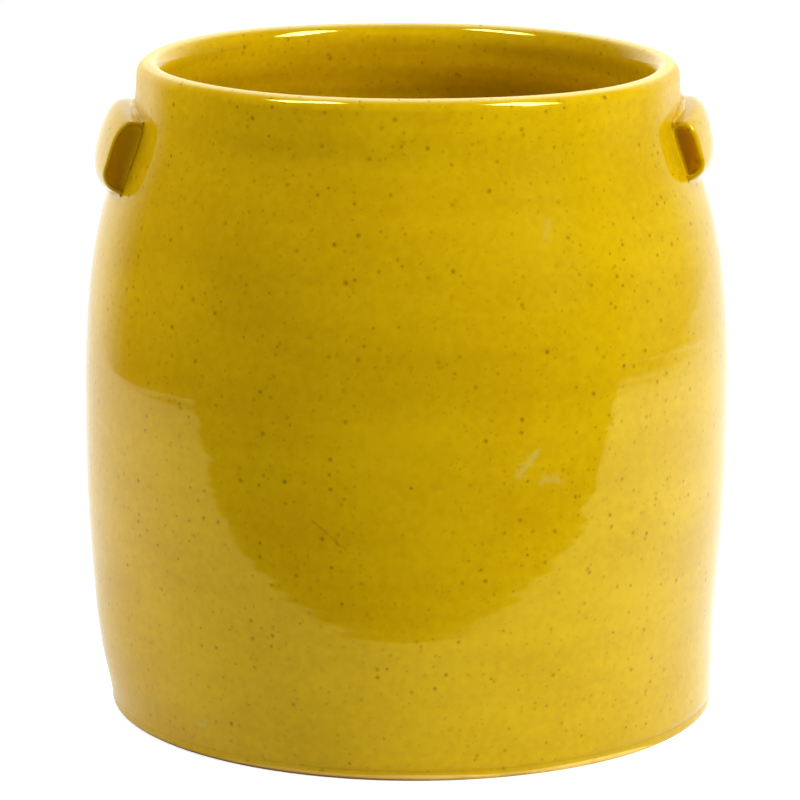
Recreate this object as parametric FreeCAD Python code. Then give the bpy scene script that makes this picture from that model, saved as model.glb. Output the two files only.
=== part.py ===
import FreeCAD
import Part

import math
import os

from FreeCAD import Vector

# Hand-built stoneware flower pot: a thrown wall on a slab foot, with two strap ears below the rim.
# Millimetres, +Z up along the pot's axis, the ground at zero, the ears on -X and +X.

# Outside of the thrown wall, from the rim down
pot_height = 364.0
rim_radius = 149.6
neck_radius = 149.2
collar_radius = 155.6
brow_radius = 168.2
shoulder_radius = 177.4
belly_radius = 180.0
flank_radius = 176.6
foot_radius = 171.0

# Heights of the neck, collar, brow, shoulder, belly and flank as shares of the pot's height
outline_height_shares = (0.95, 0.88, 0.785, 0.65, 0.43, 0.20)

# Thickness of the wall at the lip, along the side and where it stands on the slab
rim_wall = 11.6
side_wall = 11.0
foot_wall = 13.0

# Room for slip between the wall and what is luted to it
joint_gap = 0.3

# Base slab: a ledge for the wall, a raised middle that centres it and a turned foot ring below
slab_ledge = 5.6
slab_top = 14.0
slab_setback = 1.2
slab_round = 2.0
seam_round = 1.3
foot_ring_width = 16.0
recess_depth = 3.0
recess_run = 5.0

# Coil in the inside corner between wall and slab
corner_coil_leg = 14.0
corner_coil_edge = 1.2

# Ears: drop of the strap's top below the rim, height on the wall and reach from the wall
left_ear_drop = 25.5
left_ear_height = 46.0
left_ear_reach = 14.6
right_ear_drop = 22.0
right_ear_height = 39.5
right_ear_reach = 13.2

# Both straps: chord across the wall, thickness and rounding of the edges at the open ends
ear_width = 103.0
strap_thickness = 4.4
strap_round = 1.7

# Arch of a strap, as shares of its length along the wall and of its reach
arch_shares = ((0.06, 0.69), (0.20, 0.92), (0.42, 1.0), (0.64, 0.935), (0.83, 0.72), (0.945, 0.37))

# Luting coils: legs of the beads above and below a strap, and their distance from its open ends
left_upper_coil = 3.6
right_upper_coil = 5.2
lower_coil = 2.8
coil_setback = 4.0
# Swell of a bead beyond the straight line between its two edges, as a share of its leg
coil_swell_share = 0.3

axis_origin = Vector(0, 0, 0)
axis_up = Vector(0, 0, 1)


def on_profile(radius, height):
    return Vector(radius, 0, height)


def spline(points, start=None, end=None):
    curve = Part.BSplineCurve()
    if end is None:
        curve.interpolate(points)
    else:
        curve.interpolate(Points=points, InitialTangent=start, FinalTangent=end)
    return curve


def line(start, end):
    return Part.LineSegment(start, end).toShape()


def arc(start, middle, end):
    return Part.Arc(start, middle, end).toShape()


def rounded_corner(start, corner, end):
    """Quarter round between two square edges that meet at corner."""
    centre = start + end - corner
    middle = centre + (corner - centre).normalize().multiply((start - centre).Length)
    return arc(start, middle, end)


def polyline(points):
    return [line(a, b) for a, b in zip(points, points[1:])]


def turned(edges):
    """Solid of revolution from the edges of a closed outline in the XZ plane."""
    return Part.Face(Part.Wire(edges)).revolve(axis_origin, axis_up, 360)


def turned_sector(edges, half_angle):
    """Part of a turned solid, as far to each side of the XZ plane as half_angle."""
    face = Part.Face(Part.Wire(edges))
    face.rotate(axis_origin, axis_up, -half_angle)
    return face.revolve(axis_origin, axis_up, 2 * half_angle)


def at_level(curve, height):
    """Parameter of a profile curve where it crosses a height."""
    level = line(on_profile(0, height), on_profile(2 * belly_radius, height))
    return curve.parameter(curve.toShape().distToShape(level)[1][0][0])


def stretch(curve, start, end):
    """Edge along a curve between two of its parameters."""
    return curve.toShape(min(start, end), max(start, end))


def set_in(curve, points, thickness):
    """Points moved off a curve by a thickness, to its left as it runs."""
    moved = []
    for point in points:
        tangent = curve.tangent(curve.parameter(point))[0].normalize()
        moved.append(point + Vector(-tangent.z, 0, tangent.x) * thickness)
    return moved


def outer_outline():
    """Outer curve of the wall from the slab's ledge to the lip, with the points that it follows."""
    radii = (neck_radius, collar_radius, brow_radius, shoulder_radius, belly_radius, flank_radius)
    points = [on_profile(foot_radius, slab_ledge + seam_round)]
    for radius, share in reversed(list(zip(radii, outline_height_shares))):
        points.append(on_profile(radius, share * pot_height))
    points.append(on_profile(rim_radius, pot_height - rim_wall / 2))
    rise = (points[1] - points[0]).normalize()
    return points, spline(points, rise, axis_up)


def inner_outline(points, outer):
    """Inner curve of the wall, set in from the outer curve by the wall's thickness."""
    foot = on_profile(foot_radius - foot_wall, slab_ledge)
    tip = on_profile(rim_radius - rim_wall, pot_height - rim_wall / 2)
    inner = [foot] + set_in(outer, points[1:-1], side_wall) + [tip]
    rise = (inner[1] - inner[0]).normalize()
    return inner, spline(inner, rise, axis_up)


def seat_beside(curve, gap):
    """Copy of a wall curve moved out by a gap, to seat other pieces on."""
    seat = curve.copy()
    seat.translate(on_profile(gap, 0))
    return seat


outer_points, outer_curve = outer_outline()
inner_points, inner_curve = inner_outline(outer_points, outer_curve)
outer_seat = seat_beside(outer_curve, joint_gap)
inner_seat = seat_beside(inner_curve, -joint_gap)


def thrown_wall():
    foot_start = outer_points[0]
    foot_corner = on_profile(foot_radius, slab_ledge)
    foot_end = on_profile(foot_radius - seam_round, slab_ledge)
    outer_tip = outer_points[-1]
    lip_top = on_profile(rim_radius - rim_wall / 2, pot_height)
    return turned([
        outer_curve.toShape(),
        arc(outer_tip, lip_top, inner_points[-1]),
        inner_curve.toShape(),
        line(inner_points[0], foot_end),
        rounded_corner(foot_end, foot_corner, foot_start),
    ])


def base_slab():
    edge_radius = foot_radius - slab_setback
    ring_inside = edge_radius - foot_ring_width
    spigot = foot_radius - foot_wall - joint_gap
    ground_round = on_profile(edge_radius - slab_round, 0)
    edge_low = on_profile(edge_radius, slab_round)
    edge_high = on_profile(edge_radius, slab_ledge - seam_round)
    ledge_round = on_profile(edge_radius - seam_round, slab_ledge)
    below = polyline([
        on_profile(0, slab_top),
        on_profile(0, recess_depth),
        on_profile(ring_inside - recess_run, recess_depth),
        on_profile(ring_inside, 0),
        ground_round,
    ])
    above = polyline([
        ledge_round,
        on_profile(spigot, slab_ledge),
        on_profile(spigot, slab_top),
        on_profile(0, slab_top),
    ])
    side = [
        rounded_corner(ground_round, on_profile(edge_radius, 0), edge_low),
        line(edge_low, edge_high),
        rounded_corner(edge_high, on_profile(edge_radius, slab_ledge), ledge_round),
    ]
    return turned(below + side + above)


def inner_corner_coil():
    """Hollow fillet of clay that lies on the slab and against the inside of the wall."""
    low = at_level(inner_seat, slab_top)
    high = at_level(inner_seat, slab_top + corner_coil_leg)
    corner = inner_seat.value(low)
    wall_end = inner_seat.value(high)
    floor_end = on_profile(corner.x - corner_coil_leg, slab_top)
    wall_lip = on_profile(wall_end.x - corner_coil_edge, wall_end.z)
    floor_lip = on_profile(floor_end.x, slab_top + corner_coil_edge)
    centre = on_profile(floor_lip.x, wall_lip.z)
    across = wall_lip.x - centre.x
    down = centre.z - floor_lip.z
    slant = math.sqrt(0.5)
    middle = on_profile(centre.x + across * slant, centre.z - down * slant)
    return turned([
        stretch(inner_seat, low, high),
        line(wall_end, wall_lip),
        arc(wall_lip, middle, floor_lip),
        line(floor_lip, floor_end),
        line(floor_end, corner),
    ])


def strap_arch(top, height, reach):
    """Outer arch of a strap, from the wall out by its reach and back, with the points it follows."""
    start = outer_seat.value(at_level(outer_seat, top))
    end = outer_seat.value(at_level(outer_seat, top - height))
    along = end - start
    outward = Vector(-along.z, 0, along.x).normalize()
    points = [start]
    for along_share, reach_share in arch_shares:
        points.append(start + along * along_share + outward * (reach_share * reach))
    points.append(end)
    return points, spline(points)


def strap(points, arch, half_angle):
    """Half sleeve that follows the wall, with its two feet on the wall's seat."""
    start = outer_seat.parameter(points[0])
    end = outer_seat.parameter(points[-1])
    start_inside = at_level(outer_seat, points[0].z - strap_thickness)
    end_inside = at_level(outer_seat, points[-1].z + strap_thickness)
    hollow_points = set_in(arch, points[1:-1], -strap_thickness)
    hollow = spline([outer_seat.value(start_inside)] + hollow_points + [outer_seat.value(end_inside)])
    sleeve = turned_sector([
        arch.toShape(),
        stretch(outer_seat, end_inside, end),
        hollow.toShape(),
        stretch(outer_seat, start, start_inside),
    ], half_angle)
    open_ends = [face for face in sleeve.Faces if isinstance(face.Surface, Part.Plane)]
    rounded = []
    for face in open_ends:
        rounded += sorted(face.Edges, key=lambda edge: edge.Length)[-2:]
    return sleeve.makeFillet(strap_round, rounded)


def luting_coil(arch, arch_end, leg, half_angle):
    """Bead of clay in the corner between the wall and one end of a strap's arch; the leg is
    positive above a strap, where it runs up the wall, and negative below one."""
    corner = arch.value(arch_end)
    seat = outer_seat.parameter(corner)
    foot = at_level(outer_seat, corner.z + leg)
    arch_foot = arch.parameterAtDistance(leg, arch_end)
    on_wall = outer_seat.value(foot)
    on_strap = arch.value(arch_foot)
    chord_middle = (on_wall + on_strap) / 2
    swell = (chord_middle - corner).normalize() * (abs(leg) * coil_swell_share)
    return turned_sector([
        stretch(outer_seat, seat, foot),
        arc(on_wall, chord_middle + swell, on_strap),
        stretch(arch, arch_end, arch_foot),
    ], half_angle)


def half_angle_of(chord, radius):
    return math.degrees(math.asin(chord / 2 / radius))


def ear_pieces(drop, height, reach, upper_coil):
    """Strap on the +X side with its two luting coils, all seated on the wall."""
    points, arch = strap_arch(pot_height - drop, height, reach)
    wall_radius = (points[0].x + points[-1].x) / 2
    strap_angle = half_angle_of(ear_width, wall_radius)
    coil_angle = half_angle_of(ear_width - 2 * coil_setback, wall_radius)
    return {
        "ear": strap(points, arch, strap_angle),
        "ear_upper_coil": luting_coil(arch, arch.FirstParameter, upper_coil, coil_angle),
        "ear_lower_coil": luting_coil(arch, arch.LastParameter, -lower_coil, coil_angle),
    }


nodes = {
    "thrown_wall": thrown_wall(),
    "base_slab": base_slab(),
    "inner_corner_coil": inner_corner_coil(),
}
half_turn = math.degrees(math.pi)
for name, piece in ear_pieces(left_ear_drop, left_ear_height, left_ear_reach, left_upper_coil).items():
    nodes["left_" + name] = piece.rotated(axis_origin, axis_up, half_turn)
for name, piece in ear_pieces(right_ear_drop, right_ear_height, right_ear_reach, right_upper_coil).items():
    nodes["right_" + name] = piece

os.makedirs("parts", exist_ok=True)
for name, shape in nodes.items():
    solids = shape.Solids
    print(name, len(solids), "solid(s)", round(shape.Volume), "mm3", "valid", shape.isValid())
    solid = solids[0] if len(solids) == 1 else shape
    solid.exportStep("parts/" + name + ".step")
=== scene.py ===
import math

import bpy
import numpy as np
from mathutils import Euler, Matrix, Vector


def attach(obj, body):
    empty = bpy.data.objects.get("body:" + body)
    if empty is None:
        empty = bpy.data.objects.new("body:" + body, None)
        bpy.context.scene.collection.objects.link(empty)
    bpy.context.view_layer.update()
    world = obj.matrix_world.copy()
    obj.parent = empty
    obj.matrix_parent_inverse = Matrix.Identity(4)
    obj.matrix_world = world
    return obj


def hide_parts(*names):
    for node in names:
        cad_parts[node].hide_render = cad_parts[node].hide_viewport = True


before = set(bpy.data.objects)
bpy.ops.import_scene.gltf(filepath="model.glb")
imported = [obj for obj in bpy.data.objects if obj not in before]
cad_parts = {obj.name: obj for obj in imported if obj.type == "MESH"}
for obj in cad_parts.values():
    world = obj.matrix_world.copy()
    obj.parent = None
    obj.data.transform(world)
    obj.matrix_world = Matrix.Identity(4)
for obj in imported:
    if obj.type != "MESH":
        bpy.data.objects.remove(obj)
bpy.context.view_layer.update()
scene = bpy.context.scene
print("frame loaded:", len(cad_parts), "nodes")

# Yellow glazed stoneware flower pot, metres, +Z up, ears on -X and +X, seen from -Y

mmUnit = 0.001
fullTurn = 2 * math.pi
quarterTurn = math.pi / 2
sharpAngle = math.radians(50)


def mm(value):
    return value * mmUnit


def smoothStep(low, high, value):
    t = np.clip((value - low) / (high - low), 0, 1)
    return t * t * (3 - 2 * t)


def hump(middle, spread, value):
    return np.exp(-((value - middle) / spread) ** 2)


# Sum of waves along an angle or a share: height, count and phase of each
def waves(along, *terms):
    return sum(height * np.sin(count * along + phase) for height, count, phase in terms)


# Smooth curve through points, by chord length, with free ends where no direction is given
def curveThrough(points, startWay=None, endWay=None):
    points = np.array(points, float)
    steps = np.linalg.norm(np.diff(points, axis=0), axis=1)
    knots = np.concatenate([[0], np.cumsum(steps)])
    slopes = np.diff(points, axis=0) / steps[:, None]
    last = len(points) - 1
    matrix = np.zeros((last + 1, last + 1))
    right = np.zeros_like(points)
    matrix[0, :2] = (1, 0) if startWay is not None else (2, 1)
    right[0] = startWay if startWay is not None else 3 * slopes[0]
    matrix[last, last - 1:] = (0, 1) if endWay is not None else (1, 2)
    right[last] = endWay if endWay is not None else 3 * slopes[-1]
    for i in range(1, last):
        matrix[i, i - 1:i + 2] = (steps[i], 2 * (steps[i - 1] + steps[i]), steps[i - 1])
        right[i] = 3 * (steps[i] * slopes[i - 1] + steps[i - 1] * slopes[i])
    ways = np.linalg.solve(matrix, right)

    def at(distance):
        distance = np.clip(distance, 0, knots[-1])
        i = np.clip(np.searchsorted(knots, distance, side="right") - 1, 0, last - 1)
        h = steps[i][:, None]
        t = (distance - knots[i])[:, None] / h
        fromStart = points[i] * (1 + 2 * t) * (1 - t) ** 2 + ways[i] * h * t * (1 - t) ** 2
        fromEnd = points[i + 1] * t ** 2 * (3 - 2 * t) + ways[i + 1] * h * t ** 2 * (t - 1)
        return fromStart + fromEnd

    return at, knots, ways


def sampled(curve, count):
    at, knots, ways = curve
    return at(np.linspace(0, knots[-1], count))


def leftOf(ways):
    ways = ways / np.linalg.norm(ways, axis=1)[:, None]
    return np.stack([-ways[:, 1], ways[:, 0]], axis=1)


def arcPoints(middle, radius, start, end, steps):
    turn = np.linspace(start, end, steps)
    return np.array(middle) + radius * np.stack([np.cos(turn), np.sin(turn)], axis=1)


def anglesRound(count):
    return np.arange(count) * fullTurn / count


# Piece helpers

def meshPiece(name, verts, faces, material, node, marks=None):
    mesh = bpy.data.meshes.new(name)
    mesh.from_pydata(verts, [], faces)
    for markName, values in (marks or {}).items():
        mark = mesh.attributes.new(markName, "FLOAT", "POINT")
        mark.data.foreach_set("value", np.asarray(values, np.float32))
    mesh.validate()
    mesh.shade_smooth()
    mesh.set_sharp_from_angle(angle=sharpAngle)
    mesh.materials.append(material)
    piece = bpy.data.objects.new(name, mesh)
    scene.collection.objects.link(piece)
    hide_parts(node)
    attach(piece, "root")
    print("piece", name, len(verts), "points")
    return piece


# Faces of a grid of points; a closed side joins its last row to its first
def gridFaces(rows, columns, closeRows, closeColumns):
    faces = []
    for i in range(rows if closeRows else rows - 1):
        a = i * columns
        b = ((i + 1) % rows) * columns
        for j in range(columns if closeColumns else columns - 1):
            k = (j + 1) % columns
            faces.append((a + j, a + k, b + k, b + j))
    return faces


# The thrown wall

wall = dict(
    height=mm(364), rimWall=mm(11.6), sideWall=mm(11), footWall=mm(13),
    ledge=mm(5.6), footRound=mm(0.08), footRadius=mm(171), rimRadius=mm(149.6),
    # radius and share of the height at flank, belly, shoulder, brow, collar and neck
    outline=((mm(176.6), 0.20), (mm(180), 0.43), (mm(177.4), 0.65),
             (mm(168.2), 0.785), (mm(155.6), 0.88), (mm(149.2), 0.95)),
    # the lip is fuller inside and fades into the wall below it
    lipOuter=mm(6.5), lipFullness=1.8, lipInner=mm(9), lipDrop=mm(11.2), beadFade=(mm(320), mm(348)),
    lipWaves=((mm(0.3), 3, 0.4), (mm(0.18), 5, 2.0)), lipWaveFrom=mm(300),
    outerRings=380, innerRings=170, lipRings=22, footSteps=6, segments=288, radiusSteps=1200,
    # flank and neck: how much fuller, at which height and how far
    fuller=((mm(0.6), mm(125), mm(32)), (mm(1.5), mm(344), mm(11))),
    oval=mm(0.35), ovalTurn=0.7,
    footDrift=mm(2.6), footDriftHeight=mm(60),  # the foot sits a little to the right of the rim
    tuck=mm(2.0), tuckHeight=mm(35),  # and is drawn in on the left
    outerFace=(mm(165), mm(170)),  # radii where the outer face of the foot begins
    # the groove above the foot and the darker colour along it fade out towards the left, by the cosine
    grooveDepth=mm(0.5), grooveSpread=mm(1.8), grooveFade=(-0.95, -0.3),
    seamSpread=mm(1.1), seamFade=(-0.9, -0.2),
    # the crest band is thin glaze, partly a painted highlight
    thinAndSheenCrest=(mm(1.7), mm(0.7)), insideRun=mm(3),
    paintedLightNeck=(mm(333), mm(352)),  # painted light: the wall just below the lip is made brighter
    mattNeck=(mm(328), mm(338)), mattSides=(0.9, 0.97),  # and duller above the ears
)


def potOutline():
    outer = [(wall["footRadius"], wall["ledge"] + wall["footRound"])]
    outer += [(radius, share * wall["height"]) for radius, share in wall["outline"]]
    outer.append((wall["rimRadius"], wall["height"] - wall["rimWall"] / 2))
    outer = np.array(outer)
    rise = outer[1] - outer[0]
    outerCurve = curveThrough(outer, rise / np.linalg.norm(rise), (0, 1))
    inner = outer + leftOf(outerCurve[2]) * wall["sideWall"]
    inner[0] = (wall["footRadius"] - wall["footWall"], wall["ledge"])
    inner[-1] = (wall["rimRadius"] - wall["rimWall"], outer[-1, 1])
    rise = inner[1] - inner[0]
    innerCurve = curveThrough(inner, rise / np.linalg.norm(rise), (0, 1))
    return outerCurve, innerCurve


outerCurve, innerCurve = potOutline()
outerTable = sampled(outerCurve, wall["radiusSteps"])
innerTable = sampled(innerCurve, wall["radiusSteps"])


def outerRadius(z):
    return np.interp(z, outerTable[:, 1], outerTable[:, 0])


def innerRadius(z):
    return np.interp(z, innerTable[:, 1], innerTable[:, 0])


# Place of a point of the pot: the turned form with the hand's small departures from it
def onPot(radius, z, angle):
    full = sum(much * hump(middle, spread, z) for much, middle, spread in wall["fuller"])
    oval = wall["oval"] * np.cos(2 * angle + wall["ovalTurn"]) * smoothStep(0, wall["height"], z)
    groove = wall["grooveDepth"] * hump(wall["ledge"], wall["grooveSpread"], z)
    groove = groove * smoothStep(*wall["grooveFade"], np.cos(angle))
    tuck = wall["tuck"] * (1 - smoothStep(0, wall["tuckHeight"], z)) * np.maximum(0, -np.cos(angle)) ** 2
    r = radius + full + oval - (groove + tuck) * smoothStep(*wall["outerFace"], radius)
    drift = wall["footDrift"] * (1 - smoothStep(0, wall["footDriftHeight"], z))
    return np.stack([r * np.cos(angle) + drift, r * np.sin(angle), z + 0 * angle], axis=-1)


# The covered seam above the foot
def seamMark(profile, angle):
    level = hump(wall["ledge"], wall["seamSpread"], profile[:, 1]) * (profile[:, 0] > wall["outerFace"][0])
    return np.outer(level, smoothStep(*wall["seamFade"], np.cos(angle))).ravel()


# Throwing marks: soft swells and finer ridges that climb round the wall as one screw
ridgeWaves = dict(
    longest=mm(58), shortest=mm(6.5), count=9, slope=0.005, seed=5,
    wander=(0.2, 0.5), beat=(mm(50), mm(120)), steady=0.55,
    fadeAboveFoot=mm(20), fadeBelowLip=mm(12), insideTimes=3.0,
)


def throwingRelief(z, angle):
    draw = np.random.default_rng(ridgeWaves["seed"])
    relief = np.zeros(np.broadcast(z, angle).shape)
    for length in np.geomspace(ridgeWaves["longest"], ridgeWaves["shortest"], ridgeWaves["count"]):
        phase, turnPhase, beatPhase = draw.uniform(0, fullTurn, 3)
        wander = draw.uniform(*ridgeWaves["wander"]) * length
        beat = draw.uniform(*ridgeWaves["beat"])
        course = z + length * angle / fullTurn + wander * np.sin(angle + turnPhase)
        swell = np.sin(2 * angle + turnPhase) * np.sin(fullTurn * z / beat + beatPhase)
        swell = ridgeWaves["steady"] + (1 - ridgeWaves["steady"]) * swell
        height = ridgeWaves["slope"] * length / fullTurn
        relief += height * swell * np.sin(fullTurn * course / length + phase)
    return relief


# Foot corner, outer side, lip and inner side, as one closed profile of radius and height
def wallProfile():
    footMiddle = (wall["footRadius"] - wall["footRound"], wall["ledge"] + wall["footRound"])
    foot = arcPoints(footMiddle, wall["footRound"], -quarterTurn, 0, wall["footSteps"])[:-1]
    outer = sampled(outerCurve, wall["outerRings"])
    outer = outer[outer[:, 1] < wall["height"] - wall["lipOuter"]]
    sweep = np.linspace(0, math.pi, wall["lipRings"] + 2)[1:-1]
    outside = sweep < quarterTurn
    reach = np.where(outside, wall["lipOuter"], wall["lipInner"])
    drop = np.where(outside, wall["lipOuter"], wall["lipDrop"])
    power = np.where(outside, 2 / wall["lipFullness"], 1.0)
    across = np.sign(np.cos(sweep)) * np.abs(np.cos(sweep)) ** power
    crest = (wall["rimRadius"] - wall["lipOuter"], wall["height"])
    lip = crest + np.stack([reach * across, drop * (np.sin(sweep) ** power - 1)], axis=1)
    inner = sampled(innerCurve, wall["innerRings"])[::-1]
    inner = inner[inner[:, 1] < wall["height"] - wall["lipDrop"]]
    bead = wall["rimWall"] - wall["lipOuter"] - wall["lipInner"]
    inner[:, 0] += bead * smoothStep(*wall["beadFade"], inner[:, 1])
    return foot, outer, lip, inner


def throwWall(material):
    foot, outer, lip, inner = wallProfile()
    profile = np.concatenate([foot, outer, lip, inner])
    aboveFoot = outer[:, 1] - wall["ledge"]
    belowRim = wall["height"] - outer[:, 1]
    belowLip = wall["height"] - inner[:, 1] - wall["lipDrop"]
    lipFade = ridgeWaves["fadeBelowLip"]
    strength = np.concatenate([
        np.zeros(len(foot)),
        smoothStep(0, ridgeWaves["fadeAboveFoot"], aboveFoot) * smoothStep(0, lipFade, belowRim),
        np.zeros(len(lip)),
        -ridgeWaves["insideTimes"] * smoothStep(0, lipFade, belowLip),
    ])
    angle = anglesRound(wall["segments"])
    radius, z = profile[:, 0:1], profile[:, 1:2]
    relief = throwingRelief(z, angle[None, :]) * strength[:, None]
    lift = waves(angle, *wall["lipWaves"])[None, :] * smoothStep(wall["lipWaveFrom"], wall["height"], z)
    verts = onPot(radius + relief, z + lift, angle[None, :]).reshape(-1, 3)
    faces = gridFaces(len(profile), wall["segments"], True, True)
    # thin glaze on the lip's crest, partly a painted highlight
    crestLow, crestHigh = wall["thinAndSheenCrest"]
    thinGlazeAndSheen = smoothStep(wall["height"] - crestLow, wall["height"] - crestHigh, profile[:, 1])
    crestRadius = wall["rimRadius"] - wall["lipOuter"]
    inside = smoothStep(crestRadius, crestRadius - wall["insideRun"], profile[:, 0])
    inside[:len(foot) + len(outer)] = 0
    inside[-len(inner):] = 1
    # painted light on the wall below the lip, kept off the inside
    light = smoothStep(*wall["paintedLightNeck"], profile[:, 1]) * (1 - inside)
    marks = dict(thinGlazeAndSheen=thinGlazeAndSheen, inside=inside, light=light)
    marks = {name: np.repeat(values, wall["segments"]) for name, values in marks.items()}
    marks["seam"] = seamMark(profile, angle)
    aboveEars = smoothStep(*wall["mattNeck"], profile[:, 1]) * (1 - inside)
    marks["matt"] = np.outer(aboveEars, smoothStep(*wall["mattSides"], np.abs(np.cos(angle)))).ravel()
    return meshPiece("thrownWall", verts.tolist(), faces, material, "thrown_wall", marks)


# The base slab, with the glaze running down over its edge

slab = dict(
    groundRound=mm(2.6), groundSteps=9, seamRound=mm(0.08), seamSteps=6, top=mm(14), ringWidth=mm(16),
    recess=mm(3), recessRun=mm(5), gap=mm(0.3), discRadius=mm(20), segments=288,
    # bare clay below the glaze line, in front and in patches at the back, by sines of the angle
    bareHeight=mm(3.2), bareWaves=((mm(0.35), 7, 0.5), (mm(0.245), 13, 2.2)),
    frontTurn=0.09, frontFade=(0.58, 0.8), backPatches=(1.0, 3, 1.0), backFade=(0.2, 0.6),
    # painted shade on the foot's left and front, by the cosine and sine of the angle
    shadeToLeft=(0.45, -0.25), shadeToFront=(0.0, -0.3),
)


def pressSlab(material):
    edge = wall["footRadius"]
    ringInside = edge - slab["ringWidth"]
    spigot = wall["footRadius"] - wall["footWall"] - slab["gap"]
    ground, seam, recess = slab["groundRound"], slab["seamRound"], slab["recess"]
    profile = np.concatenate([
        [(slab["discRadius"], recess), (ringInside - slab["recessRun"], recess), (ringInside, 0)],
        arcPoints((edge - ground, ground), ground, -quarterTurn, 0, slab["groundSteps"]),
        arcPoints((edge - seam, wall["ledge"] - seam), seam, 0, quarterTurn, slab["seamSteps"]),
        [(spigot, wall["ledge"]), (spigot, slab["top"]), (slab["discRadius"], slab["top"])],
    ])
    angle = anglesRound(slab["segments"])
    verts = onPot(profile[:, 0:1], profile[:, 1:2], angle[None, :]).reshape(-1, 3)
    rows, columns = len(profile), slab["segments"]
    faces = gridFaces(rows, columns, False, True)
    faces.append(tuple(range(columns)))
    faces.append(tuple(reversed(range((rows - 1) * columns, rows * columns))))
    # the glaze stops above the ground in front and runs right down at the sides
    front = smoothStep(*slab["frontFade"], -np.sin(angle - slab["frontTurn"]))
    front += smoothStep(*slab["backFade"], waves(angle, slab["backPatches"])) * (np.sin(angle) > 0)
    line = slab["bareHeight"] * np.clip(front, 0, 1) + waves(angle, *slab["bareWaves"]) * front
    # painted shade: the foot's bare clay is darker on the left and front, with a dark line at its lowest edge
    paintedLeftShade = smoothStep(*slab["shadeToLeft"], np.cos(angle))
    paintedLeftShade = paintedLeftShade * smoothStep(*slab["shadeToFront"], np.sin(angle))
    marks = dict(
        glazeLine=np.tile(line, rows), paintedLeftShade=np.tile(paintedLeftShade, rows), seam=seamMark(profile, angle),
    )
    return meshPiece("baseSlab", verts.tolist(), faces, material, "base_slab", marks)


# The coil that is smoothed into the inside corner

cornerCoil = dict(
    leg=mm(14), edge=mm(1.2), sink=mm(0.4), steps=14, segments=192,
    dents=((mm(0.35), 9, 1.0), (mm(0.25), 17, 0.3)),
)


def cornerFillet(material):
    floorLevel = slab["top"]
    corner = np.array([innerRadius(floorLevel), floorLevel])
    high = floorLevel + cornerCoil["leg"]
    wallEnd = np.array([innerRadius(high), high])
    floorEnd = corner - (cornerCoil["leg"], 0)
    turn = np.linspace(0, quarterTurn, cornerCoil["steps"])
    across = wallEnd[0] - cornerCoil["edge"] - floorEnd[0]
    down = cornerCoil["leg"] - cornerCoil["edge"]
    hollow = np.stack([floorEnd[0] + across * np.cos(turn), high - down * np.sin(turn)], axis=1)
    sink = cornerCoil["sink"]
    profile = np.concatenate([
        [corner + (sink, -sink)], [wallEnd + (sink, sink)], hollow, [floorEnd - (sink, sink)],
    ])
    angle = anglesRound(cornerCoil["segments"])
    shows = np.concatenate([[0, 0], np.ones(len(hollow)), [0]])
    radius = profile[:, 0:1] + shows[:, None] * waves(angle, *cornerCoil["dents"])[None, :]
    verts = onPot(radius, profile[:, 1:2], angle[None, :]).reshape(-1, 3)
    faces = gridFaces(len(profile), cornerCoil["segments"], True, True)
    return meshPiece(
        "innerCornerCoil", verts.tolist(), faces, material, "inner_corner_coil",
    )


# The ears: straps of clay that follow the wall, with a pocket pressed into each open end

earShape = dict(
    width=mm(103), thickness=mm(4.4), thinPower=4, sink=mm(1.6), lining=mm(0.7),
    edgeRound=mm(1.6), leastEdge=0.06, pocket=mm(5.6), pocketFullness=3.2, leastPocket=0.04, cornerRounds=5,
    # share of the length along the wall, share of the reach in the middle and at the open ends
    archShares=((0.06, 0.69, 0.66), (0.20, 0.92, 0.90), (0.42, 1.0, 1.0),
                (0.64, 0.935, 0.99), (0.83, 0.72, 0.93), (0.945, 0.37, 0.66)),
    stations=41, archSteps=34, wallSteps=20, roundSteps=8, pocketSteps=8,
)
leftEar = dict(
    name="left", azimuth=math.pi, frontway=1, seed=3,
    top=mm(338.2), height=mm(45.5), reach=mm(14.6), edge=mm(2.1),
    sagFront=mm(3.2), sagBack=mm(9), liftFront=mm(3.6), liftBack=mm(5),
    # from these depths on, the pockets take their painted light and rougher glaze; the coils below take a
    # share of it
    flareFront=mm(-0.2), flareBack=mm(-2), pooledAndLitStart=(mm(0.1), mm(1.0)),
    upperLeg=mm(2.6), upperSwell=0.12, lowerLeg=mm(2.2), lowerSwell=0.12, coilPooledAndLit=0.1,
)
rightEar = dict(
    name="right", azimuth=0.0, frontway=-1, seed=8,
    top=mm(341.4), height=mm(39), reach=mm(13.2), edge=mm(3.0),
    sagFront=mm(5), sagBack=mm(9), liftFront=mm(3), liftBack=mm(5),
    # from these depths on, the pockets take their painted light and rougher glaze; the coils below take a
    # share of it
    flareFront=mm(-0.6), flareBack=mm(-2), pooledAndLitStart=(mm(0.6), mm(2.2)),
    upperLeg=mm(2.8), upperSwell=0.32, lowerLeg=mm(1.7), lowerSwell=0.12, coilPooledAndLit=0.0,
)


def earHalfAngle(ear):
    return math.asin(earShape["width"] / 2 / outerRadius(ear["top"] - ear["height"] / 2))


def pick(share, front, back):
    return front if share > 0 else back


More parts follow.
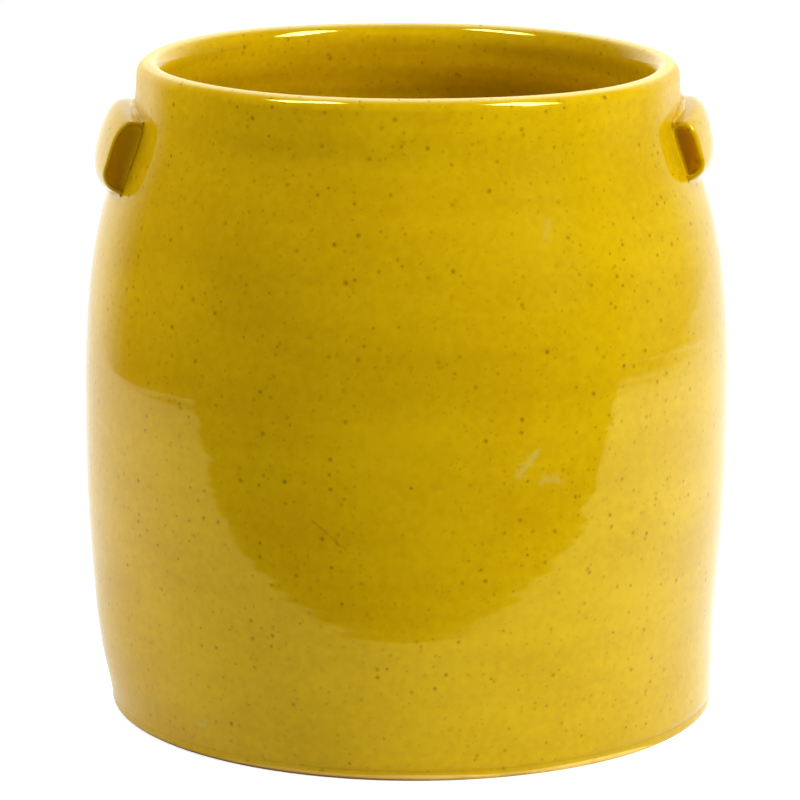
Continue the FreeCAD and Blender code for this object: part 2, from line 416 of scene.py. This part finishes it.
# Joints on the wall, outer arch and its normals at a share of the half width, front is positive
def earSection(ear, share):
    bend = share * share
    top = ear["top"] - pick(share, ear["sagFront"], ear["sagBack"]) * bend
    bottom = ear["top"] - ear["height"] + pick(share, ear["liftFront"], ear["liftBack"]) * bend
    reach = ear["reach"] + pick(share, ear["flareFront"], ear["flareBack"]) * bend
    start = np.array([outerRadius(top), top])
    end = np.array([outerRadius(bottom), bottom])
    along = end - start
    outward = np.array([-along[1], along[0]]) / np.linalg.norm(along)
    points = [start]
    for alongShare, middleShare, endShare in earShape["archShares"]:
        reachShare = middleShare + (endShare - middleShare) * bend
        points.append(start + along * alongShare + outward * reachShare * reach)
    points.append(end)
    arch = sampled(curveThrough(points), earShape["archSteps"])
    inward = -leftOf(np.gradient(arch, axis=0))
    return start, end, outward, arch, inward


# How much of the thickness is left at a depth behind the rounded open end
def endFullness(deep):
    t = np.clip(1 - deep / earShape["edgeRound"], 0, 1)
    return max(math.sqrt(1 - t * t), earShape["leastEdge"])


# Outside and inside loop of the strap, down the arch and back up the wall, and the line between them
def earLoops(ear, share):
    start, end, outward, arch, inward = earSection(ear, share)
    thickness = ear["edge"] + (earShape["thickness"] - ear["edge"]) * (1 - share ** earShape["thinPower"])
    inner = arch + inward * thickness
    inner[:, 0] = np.maximum(inner[:, 0], outerRadius(inner[:, 1]) + earShape["lining"])
    up = np.linspace(0, 1, earShape["wallSteps"] + 2)[1:-1]
    backZ = end[1] + (start[1] - end[1]) * up
    back = np.stack([outerRadius(backZ) - earShape["sink"], backZ], axis=1)
    liningZ = inner[-1, 1] + (inner[0, 1] - inner[-1, 1]) * up
    lining = np.stack([outerRadius(liningZ) + earShape["lining"], liningZ], axis=1)
    feet = outward * earShape["sink"]
    outer = np.concatenate([[arch[0] - feet], arch[1:-1], [arch[-1] - feet], back])
    inner = np.concatenate([inner, lining])
    for turn in range(earShape["cornerRounds"]):
        inner = (np.roll(inner, 1, axis=0) + 2 * inner + np.roll(inner, -1, axis=0)) / 4
    return outer, inner, (outer + inner) / 2


def strapEar(ear, material):
    halfAngle = earHalfAngle(ear)
    width = halfAngle * outerRadius(ear["top"])
    turn = np.linspace(0, quarterTurn, earShape["roundSteps"])
    edgeDepths = earShape["edgeRound"] * (1 - np.cos(turn))
    pocketDepths = np.linspace(earShape["edgeRound"], earShape["pocket"], earShape["pocketSteps"])[1:]
    frontShares = 1 - edgeDepths / width
    middleShares = np.linspace(-frontShares[-1], frontShares[-1], earShape["stations"])[1:-1]
    shares = np.concatenate([-frontShares, middleShares, frontShares[::-1]])
    verts = []
    pooledAndLit = []

    def addRing(loop, share, deep):
        angle = np.full(len(loop), ear["azimuth"] + ear["frontway"] * share * halfAngle)
        verts.extend(onPot(loop[:, 0], loop[:, 1], angle).tolist())
        # the pockets' painted light and rougher glaze grow with depth
        pooledAndLit.extend([float(smoothStep(*ear["pooledAndLitStart"], deep))] * len(loop))

    for share in shares:
        outer, inner, between = earLoops(ear, share)
        addRing(between + (outer - between) * endFullness((1 - abs(share)) * width), share, 0.0)
    count = len(outer)
    faces = gridFaces(len(shares), count, False, True)
    for end in (-1, 1):
        before = 0 if end < 0 else (len(shares) - 1) * count
        for deep in np.concatenate([edgeDepths, pocketDepths]):
            share = end * (1 - deep / width)
            outer, inner, between = earLoops(ear, share)
            heart = inner.mean(axis=0)
            left = max(earShape["leastPocket"], 1 - (deep / earShape["pocket"]) ** earShape["pocketFullness"])
            inner = between + (inner - between) * endFullness(deep)
            here = len(verts)
            addRing(heart + (inner - heart) * left ** (1 / earShape["pocketFullness"]), share, deep)
            for i in range(count):
                k = (i + 1) % count
                quad = (before + i, before + k, here + k, here + i)
                faces.append(quad if end > 0 else quad[::-1])
            before = here
        lid = tuple(range(before, before + count))
        faces.append(lid if end > 0 else lid[::-1])
    name = ear["name"]
    marks = dict(pooledAndLit=pooledAndLit)
    return meshPiece(name + "Ear", verts, faces, material, name + "_ear", marks)


# Beads of clay that lute an ear to the wall, dying out towards the open ends

coilShape = dict(
    reach=0.985, stations=81, arcSteps=10, sink=mm(0.5), strapSink=0.35,
    taperFrom=0.6, least=0.45, bumps=((0.07, 9), (0.05, 17)),
)


def luteCoil(ear, upper, material):
    halfAngle = earHalfAngle(ear)
    leg = ear["upperLeg"] if upper else ear["lowerLeg"]
    swellShare = ear["upperSwell"] if upper else ear["lowerSwell"]
    draw = np.random.default_rng(ear["seed"] + (0 if upper else 1))
    phases = draw.uniform(0, fullTurn, len(coilShape["bumps"]))
    bumps = [(*bump, phase) for bump, phase in zip(coilShape["bumps"], phases)]
    rows = []
    for share in np.linspace(-coilShape["reach"], coilShape["reach"], coilShape["stations"]):
        start, end, outward, arch, inward = earSection(ear, share)
        part = abs(share) / coilShape["reach"]
        taper = 1 - (1 - coilShape["least"]) * smoothStep(coilShape["taperFrom"], 1.0, part)
        size = leg * taper * (1 + waves(share, *bumps))
        corner = start if upper else end
        wallZ = corner[1] + (size if upper else -size)
        onWall = np.array([outerRadius(wallZ), wallZ])
        run = np.concatenate([[0], np.cumsum(np.linalg.norm(np.diff(arch, axis=0), axis=1))])
        place = size if upper else run[-1] - size
        onStrap = np.array([np.interp(place, run, arch[:, 0]), np.interp(place, run, arch[:, 1])])
        middle = (onWall + onStrap) / 2
        away = (middle - corner) / np.linalg.norm(middle - corner)
        control = middle + away * size * swellShare * 2
        t = np.linspace(0, 1, coilShape["arcSteps"])[:, None]
        bead = onWall * (1 - t) ** 2 + 2 * control * t * (1 - t) + onStrap * t ** 2
        inside = corner - away * coilShape["sink"] * 2
        wallSink = onWall - outward * coilShape["sink"]
        strapSink = onStrap + (inside - onStrap) * coilShape["strapSink"]
        loop = np.concatenate([[inside], [wallSink], bead, [strapSink]])
        angle = ear["azimuth"] + ear["frontway"] * share * halfAngle
        rows.append(onPot(loop[:, 0], loop[:, 1], np.full(len(loop), angle)))
    verts = np.concatenate(rows)
    count = len(rows[0])
    faces = gridFaces(len(rows), count, False, True)
    faces.append(tuple(reversed(range(count))))
    faces.append(tuple(range((len(rows) - 1) * count, len(rows) * count)))
    name = ear["name"] + ("EarUpperCoil" if upper else "EarLowerCoil")
    node = ear["name"] + ("_ear_upper_coil" if upper else "_ear_lower_coil")
    # the coils take a share of the pockets' painted light, rougher glaze and darker ring
    marks = dict(pooledAndLit=np.full(len(verts), ear["coilPooledAndLit"]))
    return meshPiece(name, verts.tolist(), faces, material, node, marks)


# Node helpers

def put(tree, kind, inputs=None, **settings):
    node = tree.nodes.new(kind)
    for key, value in settings.items():
        setattr(node, key, value)
    for key, value in (inputs or {}).items():
        if isinstance(value, bpy.types.NodeSocket):
            tree.links.new(value, node.inputs[key])
        else:
            node.inputs[key].default_value = value
    return node


def calc(tree, operation, *values, clamp=False):
    node = put(tree, "ShaderNodeMath", dict(enumerate(values)), operation=operation, use_clamp=clamp)
    return node.outputs[0]


def vectorCalc(tree, operation, *values, output="Vector"):
    return put(tree, "ShaderNodeVectorMath", dict(enumerate(values)), operation=operation).outputs[output]


def blend(tree, factor, first, second, kind="MIX"):
    inputs = {0: factor, 6: first, 7: second}
    return put(tree, "ShaderNodeMix", inputs, data_type="RGBA", blend_type=kind).outputs[2]


def ramp(tree, value, fromLow, fromHigh, toLow=0.0, toHigh=1.0):
    ends = {"Value": value, "From Min": fromLow, "From Max": fromHigh, "To Min": toLow, "To Max": toHigh}
    return put(tree, "ShaderNodeMapRange", ends, interpolation_type="SMOOTHSTEP").outputs[0]


def noise(tree, vector, scale, detail=2.0):
    return put(tree, "ShaderNodeTexNoise", {"Vector": vector, "Scale": scale, "Detail": detail}).outputs[0]


def axisParts(tree, vector):
    return put(tree, "ShaderNodeSeparateXYZ", {0: vector}).outputs


def pieceMark(tree, name):
    return put(tree, "ShaderNodeAttribute", attribute_name=name).outputs["Fac"]


def newGroup(name, takes, gives):
    group = bpy.data.node_groups.new(name, "ShaderNodeTree")
    for label, kind, start in takes:
        socket = group.interface.new_socket(label, in_out="INPUT", socket_type=kind)
        if start is not None:
            socket.default_value = start
    for label in gives:
        group.interface.new_socket(label, in_out="OUTPUT", socket_type="NodeSocketFloat")
    return group, group.nodes.new("NodeGroupInput").outputs, group.nodes.new("NodeGroupOutput").inputs


def useGroup(tree, group, inputs):
    return put(tree, "ShaderNodeGroup", inputs, node_tree=group).outputs


# Iron specks that burn through the glaze, as slices of scattered grains of three sizes
specks = dict(
    raggedScale=650.0, raggedReach=mm(1.2), smallest=0.45, softEdge=1.15,
    layers=(
        dict(cell=mm(6.2), radius=mm(1.85), keep=0.22, weight=0.95),
        dict(cell=mm(4.4), radius=mm(1.45), keep=0.25, weight=0.55),
        dict(cell=mm(3.0), radius=mm(0.95), keep=0.3, weight=0.4),
    ),
)


def ironSpeckle():
    group, given, made = newGroup("ironSpeckle", [
        ("Vector", "NodeSocketVector", None), ("Amount", "NodeSocketFloat", 1.0),
    ], ["Mask"])
    stir = {"Vector": given[0], "Scale": specks["raggedScale"], "Detail": 1.0}
    stir = put(group, "ShaderNodeTexNoise", stir).outputs["Color"]
    ragged = vectorCalc(group, "MULTIPLY_ADD", stir, (specks["raggedReach"],) * 3, given[0])
    total = None
    for layer in specks["layers"]:
        grains = put(group, "ShaderNodeTexVoronoi", {"Vector": ragged, "Scale": 1 / layer["cell"]})
        dice = put(group, "ShaderNodeSeparateColor", {0: grains.outputs["Color"]}).outputs
        size = ramp(group, dice[0], 0, 1, specks["smallest"], 1.0)
        radius = calc(group, "MULTIPLY", size, layer["radius"] / layer["cell"])
        depth = calc(group, "DIVIDE", grains.outputs["Distance"], radius)
        spot = ramp(group, depth, 0.0, specks["softEdge"], 1.0, 0.0)
        strength = ramp(group, dice[1], layer["keep"], 1.0, 0.0, layer["weight"])
        mask = calc(group, "MULTIPLY", spot, strength)
        total = mask if total is None else calc(group, "MAXIMUM", total, mask)
    group.links.new(calc(group, "MULTIPLY", total, given[1], clamp=True), made[0])
    return group


# Fine turning lines round the pot: a tone for the colour and a height for the relief
turning = dict(
    broad=(3, 3, 62), broadDetail=2.0, fine=(9, 9, 125), fineDetail=1.6, fineShare=0.6, toneRange=(0.5, 1.1),
)


def turningLines():
    group, given, made = newGroup("turningLines", [("Vector", "NodeSocketVector", None)], ["Tone", "Height"])
    broad = vectorCalc(group, "MULTIPLY", given[0], turning["broad"])
    broad = noise(group, broad, 1.0, turning["broadDetail"])
    fine = vectorCalc(group, "MULTIPLY", given[0], turning["fine"])
    fine = noise(group, fine, 1.0, turning["fineDetail"])
    lines = calc(group, "MULTIPLY_ADD", fine, turning["fineShare"], broad)
    group.links.new(ramp(group, lines, *turning["toneRange"], -1.0, 1.0), made[0])
    group.links.new(fine, made[1])
    return group


# Cloudy depth of the melted glaze, and the faint peel of its surface
cloudy = dict(
    flatten=(1, 1, 1.6), broadScale=14.0, broadDetail=3.0, broadShare=0.58,
    smallScale=210.0, smallShare=0.42, range=(0.3, 0.7), peelScale=330.0,
)


def glazeCloud():
    group, given, made = newGroup("glazeCloud", [("Vector", "NodeSocketVector", None)], ["Cloud", "Peel"])
    flat = vectorCalc(group, "MULTIPLY", given[0], cloudy["flatten"])
    broad = noise(group, flat, cloudy["broadScale"], cloudy["broadDetail"])
    small = noise(group, given[0], cloudy["smallScale"])
    broad = calc(group, "MULTIPLY", broad, cloudy["broadShare"])
    cloud = calc(group, "MULTIPLY_ADD", small, cloudy["smallShare"], broad)
    group.links.new(ramp(group, cloud, *cloudy["range"]), made[0])
    group.links.new(noise(group, given[0], cloudy["peelScale"], 1.0), made[1])
    return group


# A streak with ragged edges between two places
ragged = dict(scale=420.0, range=(0.3, 0.7), stretch=(0.5, 1.7))


def scuffMark():
    group, given, made = newGroup("scuffMark", [
        ("Vector", "NodeSocketVector", None), ("Start", "NodeSocketVector", None),
        ("End", "NodeSocketVector", None), ("Width", "NodeSocketFloat", mm(1)),
    ], ["Mask"])
    place, start, end, width = given[0], given[1], given[2], given[3]
    away = vectorCalc(group, "SUBTRACT", place, start)
    run = vectorCalc(group, "SUBTRACT", end, start)
    shadow = vectorCalc(group, "DOT_PRODUCT", away, run, output="Value")
    whole = vectorCalc(group, "DOT_PRODUCT", run, run, output="Value")
    share = calc(group, "DIVIDE", shadow, whole, clamp=True)
    nearest = put(group, "ShaderNodeVectorMath", {0: run, "Scale": share}, operation="SCALE").outputs[0]
    off = vectorCalc(group, "DISTANCE", away, nearest, output="Value")
    wear = ramp(group, noise(group, place, ragged["scale"]), *ragged["range"], *ragged["stretch"])
    depth = calc(group, "DIVIDE", calc(group, "MULTIPLY", off, wear), width)
    group.links.new(ramp(group, depth, 0.0, 1.0, 1.0, 0.0), made[0])
    return group


speckGroup = ironSpeckle()
lineGroup = turningLines()
cloudGroup = glazeCloud()
scuffGroup = scuffMark()

glaze = dict(
    deep=(0.560, 0.330, 0.0012, 1), bright=(0.640, 0.400, 0.0020, 1),
    # the neck tone is painted light on the wall just below the lip
    toneShift=0.025, insideTone=0.12, paintedNeckLight=0.08,
    # crest colour: thin glaze, partly a painted highlight along the lip
    thinGlazeAndSheen=(0.840, 0.660, 0.2000, 1), thinAndSheenCover=0.8,
    # painted light in the ears' open ends, from the left ear to the right one, and a darker brown ring round
    # each pocket's rim
    pooledAndLitLeft=(0.780, 0.465, 0.0010, 1), pooledAndLitRight=(0.680, 0.350, 0.0010, 1), sideRun=mm(100),
    crease=(0.200, 0.090, 0.0010, 1), creaseDepth=2.6,
    seam=(0.400, 0.240, 0.0010, 1), seamDepth=0.4,
    speck=(0.150, 0.058, 0.0005, 1), speckle=0.82, scuff=(0.640, 0.470, 0.1000, 1),
    roughness=0.07, speckRoughness=0.06, pooledRoughness=0.5, mattRoughness=0.25,
    mirrorTint=(1.0, 0.95, 0.2, 1), ior=1.5, lineRelief=mm(0.12), peelRelief=mm(0.004),
)

# Pale scuffs and one dark hairline: ends in mm, width and how far they cover
scuffs = (
    dict(start=(59, -170.2, 169), end=(68.4, -166.6, 180.4), width=4.0, cover=0.38, pale=True),
    dict(start=(72.5, -165, 165.5), end=(80, -161.5, 164.5), width=4.2, cover=0.3, pale=True),
    dict(start=(71.8, -149.5, 292), end=(73.9, -145.9, 299.6), width=3.4, cover=0.25, pale=True),
    dict(start=(-112.5, -128.6, 18.6), end=(-109, -131.6, 19.2), width=3.4, cover=0.42, pale=True),
    dict(start=(-48.9, -173.3, 144), end=(-31.9, -177, 129.8), width=0.9, cover=0.3, pale=False),
)


def scuffed(tree, place, body):
    for scuff in scuffs:
        inputs = {"Vector": place, "Width": mm(scuff["width"])}
        inputs["Start"] = tuple(mm(v) for v in scuff["start"])
        inputs["End"] = tuple(mm(v) for v in scuff["end"])
        cover = calc(tree, "MULTIPLY", useGroup(tree, scuffGroup, inputs)[0], scuff["cover"])
        body = blend(tree, cover, body, glaze["scuff"] if scuff["pale"] else glaze["speck"])
    return body


# Colour, roughness and relief of the glaze, shared by the wall, the ears and the foot's edge
def glazeNodes(tree, place):
    spots = useGroup(tree, speckGroup, {"Vector": place, "Amount": glaze["speckle"]})[0]
    lines = useGroup(tree, lineGroup, {"Vector": place})
    clouds = useGroup(tree, cloudGroup, {"Vector": place})
    # mark for the pockets: painted light and rougher glaze
    pooledAndLit = pieceMark(tree, "pooledAndLit")
    body = blend(tree, clouds[0], glaze["deep"], glaze["bright"])
    swing = calc(tree, "MULTIPLY_ADD", pieceMark(tree, "inside"), glaze["insideTone"], glaze["toneShift"])
    shade = calc(tree, "MULTIPLY_ADD", lines[0], swing, 1.0)
    # painted light: the wall below the lip is made brighter
    shade = calc(tree, "MULTIPLY_ADD", pieceMark(tree, "light"), glaze["paintedNeckLight"], shade)
    shade = put(tree, "ShaderNodeCombineColor", {0: shade, 1: shade, 2: shade}).outputs[0]
    body = blend(tree, 1.0, body, shade, "MULTIPLY")
    # thin glaze on the lip's crest, partly a painted highlight
    thinGlazeAndSheen = calc(tree, "MULTIPLY", pieceMark(tree, "thinGlazeAndSheen"), glaze["thinAndSheenCover"])
    body = blend(tree, thinGlazeAndSheen, body, glaze["thinGlazeAndSheen"])
    side = ramp(tree, axisParts(tree, place)[0], -glaze["sideRun"], glaze["sideRun"])
    # painted light: the pockets take their own colour, from the left ear's to the right ear's
    body = blend(tree, pooledAndLit, body, blend(tree, side, glaze["pooledAndLitLeft"], glaze["pooledAndLitRight"]))
    # a darker brown ring round each pocket's rim
    rim = calc(tree, "MULTIPLY", pooledAndLit, calc(tree, "SUBTRACT", 1.0, pooledAndLit))
    body = blend(tree, calc(tree, "MULTIPLY", rim, glaze["creaseDepth"]), body, glaze["crease"])
    seam = calc(tree, "MULTIPLY", pieceMark(tree, "seam"), glaze["seamDepth"])
    body = blend(tree, seam, body, glaze["seam"])
    colour = blend(tree, spots, scuffed(tree, place, body), glaze["speck"])
    relief = calc(tree, "MULTIPLY", lines[1], glaze["lineRelief"])
    relief = calc(tree, "MULTIPLY_ADD", clouds[1], glaze["peelRelief"], relief)
    rough = calc(tree, "MULTIPLY_ADD", spots, glaze["speckRoughness"], glaze["roughness"])
    rough = calc(tree, "MULTIPLY_ADD", pooledAndLit, glaze["pooledRoughness"], rough)
    rough = calc(tree, "MULTIPLY_ADD", pieceMark(tree, "matt"), glaze["mattRoughness"], rough)
    return colour, relief, rough


def newMaterial(name):
    material = bpy.data.materials.new(name)
    material.use_nodes = True
    tree = material.node_tree
    place = put(tree, "ShaderNodeTexCoord").outputs["Object"]
    return material, tree, tree.nodes["Principled BSDF"], place


def finishGlossy(tree, shader, colour, rough, height):
    bump = put(tree, "ShaderNodeBump", {"Height": height, "Strength": 1.0, "Distance": 1.0})
    tree.links.new(colour, shader.inputs["Base Color"])
    tree.links.new(rough, shader.inputs["Roughness"])
    tree.links.new(bump.outputs[0], shader.inputs["Normal"])
    shader.inputs["IOR"].default_value = glaze["ior"]
    shader.inputs["Specular Tint"].default_value = glaze["mirrorTint"]


def yellowGlaze():
    material, tree, shader, place = newMaterial("yellowGlaze")
    colour, relief, rough = glazeNodes(tree, place)
    finishGlossy(tree, shader, colour, rough, relief)
    return material


clay = dict(
    # bare clay from dark to pale in random patches; the pale tone is partly a painted highlight of the lit
    # edge
    pale=(0.95, 0.64, 0.15, 1), dark=(0.70, 0.42, 0.085, 1), roughness=0.75,
    patchScale=60.0, patchRange=(0.25, 0.55),
    grainScale=900.0, grainDetail=3.0, grainRange=(0.5, 0.75), grainCover=0.35, grain=mm(0.05),
    ragged=mm(0.8), glazeEdge=(mm(0.2), mm(0.7)),  # how the glaze ends above the bare clay
    # painted contact shade: a dark line along the lowest edge of the foot, left and front
    contactShadeColour=(0.110, 0.048, 0.008, 1), contactShadeFade=(mm(0.6), mm(2.2)),
)


def footClay():
    material, tree, shader, place = newMaterial("bareClayFoot")
    colour, relief, rough = glazeNodes(tree, place)
    grain = noise(tree, place, clay["grainScale"], clay["grainDetail"])
    patches = noise(tree, place, clay["patchScale"], clay["grainDetail"])
    paintedLeftShade = pieceMark(tree, "paintedLeftShade")
    # painted shade: the bare clay turns to its dark tone on the left and front
    paler = calc(tree, "SUBTRACT", ramp(tree, patches, *clay["patchRange"]), paintedLeftShade, clamp=True)
    bareColour = blend(tree, paler, clay["dark"], clay["pale"])
    grainCover = ramp(tree, grain, *clay["grainRange"], 0, clay["grainCover"])
    bareColour = blend(tree, grainCover, bareColour, clay["dark"])
    height = axisParts(tree, place)[2]
    over = calc(tree, "SUBTRACT", height, pieceMark(tree, "glazeLine"))
    edge = calc(tree, "MULTIPLY_ADD", patches, clay["ragged"], over)
    glazed = ramp(tree, edge, *clay["glazeEdge"])
    # painted contact shade along the foot's lowest edge
    contactShadeMask = calc(tree, "MULTIPLY", paintedLeftShade, ramp(tree, height, *clay["contactShadeFade"], 1.0, 0.0))
    colour = blend(tree, glazed, bareColour, colour)
    colour = blend(tree, contactShadeMask, colour, clay["contactShadeColour"])
    bare = calc(tree, "MAXIMUM", calc(tree, "SUBTRACT", 1.0, glazed), contactShadeMask)
    rough = calc(tree, "MULTIPLY_ADD", bare, clay["roughness"], rough)
    grainHeight = calc(tree, "MULTIPLY", calc(tree, "MULTIPLY", grain, clay["grain"]), bare)
    finishGlossy(tree, shader, colour, rough, calc(tree, "ADD", grainHeight, relief))
    return material


glazeMaterial = yellowGlaze()
footMaterial = footClay()
print("materials made")

throwWall(glazeMaterial)
pressSlab(footMaterial)
cornerFillet(glazeMaterial)
for ear in (leftEar, rightEar):
    strapEar(ear, glazeMaterial)
    luteCoil(ear, True, glazeMaterial)
    luteCoil(ear, False, glazeMaterial)

# Studio: a white table that ends in front of the pot, white behind, dark in front, lamps above and right

table = dict(
    corners=((-1.215, -0.33), (2.0, -0.395), (2.0, 3.0), (-0.2, 3.0), (-1.05, 0.57), (-1.2, 0.15)),
    colour=(0.65, 0.65, 0.65, 1), dim=(0.06, 0.06, 0.06, 1), roughness=0.9,
    fade=(1.1, 2.0), farLit=(0.5, 1.2),  # the right end fades away, but only in front
    cameraGlow=0.7, glossyGlow=(0.54, 0.74), glowRun=(-0.4, 0.8),  # brighter to the right in the glaze
    shadeMiddle=(-0.2, -0.03, 0), shadeReach=(0.05, 0.4), shadeLeft=0.4,  # where the pot keeps the light off
)


def mirrorRays(path):
    tree = path.id_data
    return calc(tree, "MAXIMUM", path.outputs["Is Glossy Ray"], path.outputs["Is Transmission Ray"])


def tableTop():
    mesh = bpy.data.meshes.new("tableTop")
    corners = [(x, y, 0) for x, y in table["corners"]]
    mesh.from_pydata(corners, [], [tuple(range(len(corners)))])
    floor = bpy.data.objects.new("tableTop", mesh)
    scene.collection.objects.link(floor)
    material, tree, shader, place = newMaterial("whiteTable")
    path = put(tree, "ShaderNodeLightPath")
    along = axisParts(tree, place)
    lit = ramp(tree, along[0], *table["fade"], 1.0, 0.0)
    lit = calc(tree, "MAXIMUM", lit, ramp(tree, along[1], *table["farLit"]))
    tree.links.new(blend(tree, lit, table["dim"], table["colour"]), shader.inputs["Base Color"])
    shader.inputs["Roughness"].default_value = table["roughness"]
    shader.inputs["Specular IOR Level"].default_value = 0.0
    glow = calc(tree, "MULTIPLY", path.outputs["Is Camera Ray"], table["cameraGlow"])
    shown = calc(tree, "MULTIPLY", lit, ramp(tree, along[0], *table["glowRun"], *table["glossyGlow"]))
    away = vectorCalc(tree, "DISTANCE", place, table["shadeMiddle"], output="Value")
    shown = calc(tree, "MULTIPLY", shown, ramp(tree, away, *table["shadeReach"], table["shadeLeft"], 1.0))
    glow = calc(tree, "MULTIPLY_ADD", mirrorRays(path), shown, glow)
    shader.inputs["Emission Color"].default_value = (1, 1, 1, 1)
    tree.links.new(glow, shader.inputs["Emission Strength"])
    mesh.materials.append(material)


# Light of the surroundings on the matt parts
softSides = dict(
    left=1.19, front=0.09, back=2.75, leftTint=(1.0, 0.97, 0.9, 1), rightTint=(0.94, 1.0, 1.0, 1),
)

# The surroundings as the glaze shows them, by the parts of the way to them
mirrorSides = dict(
    everywhere=0.01, back=1.24, backRange=(0.42, 0.82), tint=(1.0, 1.0, 0.9, 1),
    right=0.31, rightRange=(0.3, 0.7), rightBehind=(-0.3, 0.1), lowRange=(0.0, 0.5), highLeft=0.2,
)

# Faces of the lamps as the glaze shows them: way to the middle, half width and half height as slopes
glintPanels = (
    dict(middle=(-0.4487, -0.0809, 0.89), half=(0.11, 0.2), level=45.0),
    dict(middle=(0.5940, -0.2460, 0.766), half=(0.14, 0.25), level=60.0),
)
panelAhead = 0.5
panelCore = 0.8


def panelMask(tree, way, panel):
    middle = Vector(panel["middle"]).normalized()
    across = Vector((-middle.y, middle.x, 0)).normalized()
    upward = middle.cross(across)
    ahead, aside, above = [
        vectorCalc(tree, "DOT_PRODUCT", way, axis, output="Value") for axis in (middle, across, upward)
    ]
    mask = calc(tree, "GREATER_THAN", ahead, panelAhead)
    for slope, half in zip((aside, above), panel["half"]):
        off = calc(tree, "ABSOLUTE", calc(tree, "DIVIDE", slope, ahead))
        mask = calc(tree, "MULTIPLY", mask, ramp(tree, off, half * panelCore, half, 1.0, 0.0))
    return mask


def softLevel(tree, wayX, wayY):
    level = ramp(tree, wayX, -1.0, 0.0, softSides["left"], 0.0)
    level = calc(tree, "ADD", level, ramp(tree, wayY, -1.0, 0.0, softSides["front"], 0.0))
    return calc(tree, "ADD", level, ramp(tree, wayY, 0.0, 1.0, 0.0, softSides["back"]))


def mirrorLevel(tree, way, wayX, wayY, wayZ):
    level = ramp(tree, wayY, *mirrorSides["backRange"], mirrorSides["everywhere"], mirrorSides["back"])
    right = ramp(tree, wayY, *mirrorSides["backRange"], mirrorSides["right"], 0.0)
    right = calc(tree, "MULTIPLY", right, ramp(tree, wayX, *mirrorSides["rightRange"]))
    right = calc(tree, "MULTIPLY", right, ramp(tree, wayY, *mirrorSides["rightBehind"]))
    low = ramp(tree, wayZ, *mirrorSides["lowRange"], 1.0, mirrorSides["highLeft"])
    level = calc(tree, "MULTIPLY_ADD", low, right, level)
    for panel in glintPanels:
        level = calc(tree, "MULTIPLY_ADD", panelMask(tree, way, panel), panel["level"], level)
    return level


def studioWorld():
    world = bpy.data.worlds.new("studio")
    scene.world = world
    world.use_nodes = True
    tree = world.node_tree
    tree.nodes.clear()
    path = put(tree, "ShaderNodeLightPath")
    way = put(tree, "ShaderNodeTexCoord").outputs["Generated"]
    wayX, wayY, wayZ = axisParts(tree, way)
    tint = blend(tree, ramp(tree, wayX, -1.0, 1.0), softSides["leftTint"], softSides["rightTint"])
    soft = put(tree, "ShaderNodeBackground", {"Color": tint, "Strength": softLevel(tree, wayX, wayY)})
    shine = put(tree, "ShaderNodeBackground",
                {"Color": mirrorSides["tint"], "Strength": mirrorLevel(tree, way, wayX, wayY, wayZ)})
    white = put(tree, "ShaderNodeBackground", {"Color": (1, 1, 1, 1), "Strength": 1.0})
    lit = put(tree, "ShaderNodeMixShader", {0: mirrorRays(path), 1: soft.outputs[0], 2: shine.outputs[0]})
    seen = put(tree, "ShaderNodeMixShader",
               {0: path.outputs["Is Camera Ray"], 1: lit.outputs[0], 2: white.outputs[0]})
    put(tree, "ShaderNodeOutputWorld", {0: seen.outputs[0]})


lamps = (
    dict(name="overheadLeft", place=(-0.635, -0.145, 1.82), size=(0.4, 0.7), watts=5.4, colour=(1, 1, 1)),
    dict(name="overheadRight", place=(0.891, -0.514, 1.59), size=(0.45, 0.75), watts=5.7, colour=(1, 1, 1)),
    dict(name="sideRight", place=(1.366, -0.915, 0.78), size=(0.6, 0.9), watts=22.6, colour=(0.95, 1, 1)),
    dict(name="frontRight", place=(0.97, -1.167, 1.05), size=(0.6, 0.9), watts=3.0, colour=(1, 1, 1)),
)


def hangLamps():
    for lamp in lamps:
        light = bpy.data.lights.new(lamp["name"], "AREA")
        light.shape = "RECTANGLE"
        light.size, light.size_y = lamp["size"]
        light.energy = lamp["watts"]
        light.color = lamp["colour"]
        hung = bpy.data.objects.new(lamp["name"], light)
        hung.location = lamp["place"]
        hung.visible_glossy = False  # the glint panels stand in for it in the glaze
        toRim = Vector((0, 0, wall["height"])) - hung.location
        hung.rotation_euler = toRim.to_track_quat("-Z", "Y").to_euler()
        scene.collection.objects.link(hung)


view = dict(
    place=(-0.0036, -2.5, 0.7402), pitch=math.radians(12.84), roll=0.0048,
    focalPixels=4558.0, framePixels=800.0, sensor=36.0,
)


def setCamera():
    lens = bpy.data.cameras.new("photoView")
    lens.sensor_width = view["sensor"]
    lens.lens = view["focalPixels"] * view["sensor"] / view["framePixels"]
    camera = bpy.data.objects.new("photoView", lens)
    camera.location = view["place"]
    look = Euler((quarterTurn - view["pitch"], 0, 0)).to_matrix()
    spin = Euler((0, 0, view["roll"])).to_matrix()
    camera.rotation_euler = (look @ spin).to_euler()
    scene.collection.objects.link(camera)
    scene.camera = camera


tableTop()
studioWorld()
hangLamps()
setCamera()
scene.view_settings.view_transform = "Standard"
print("studio set")
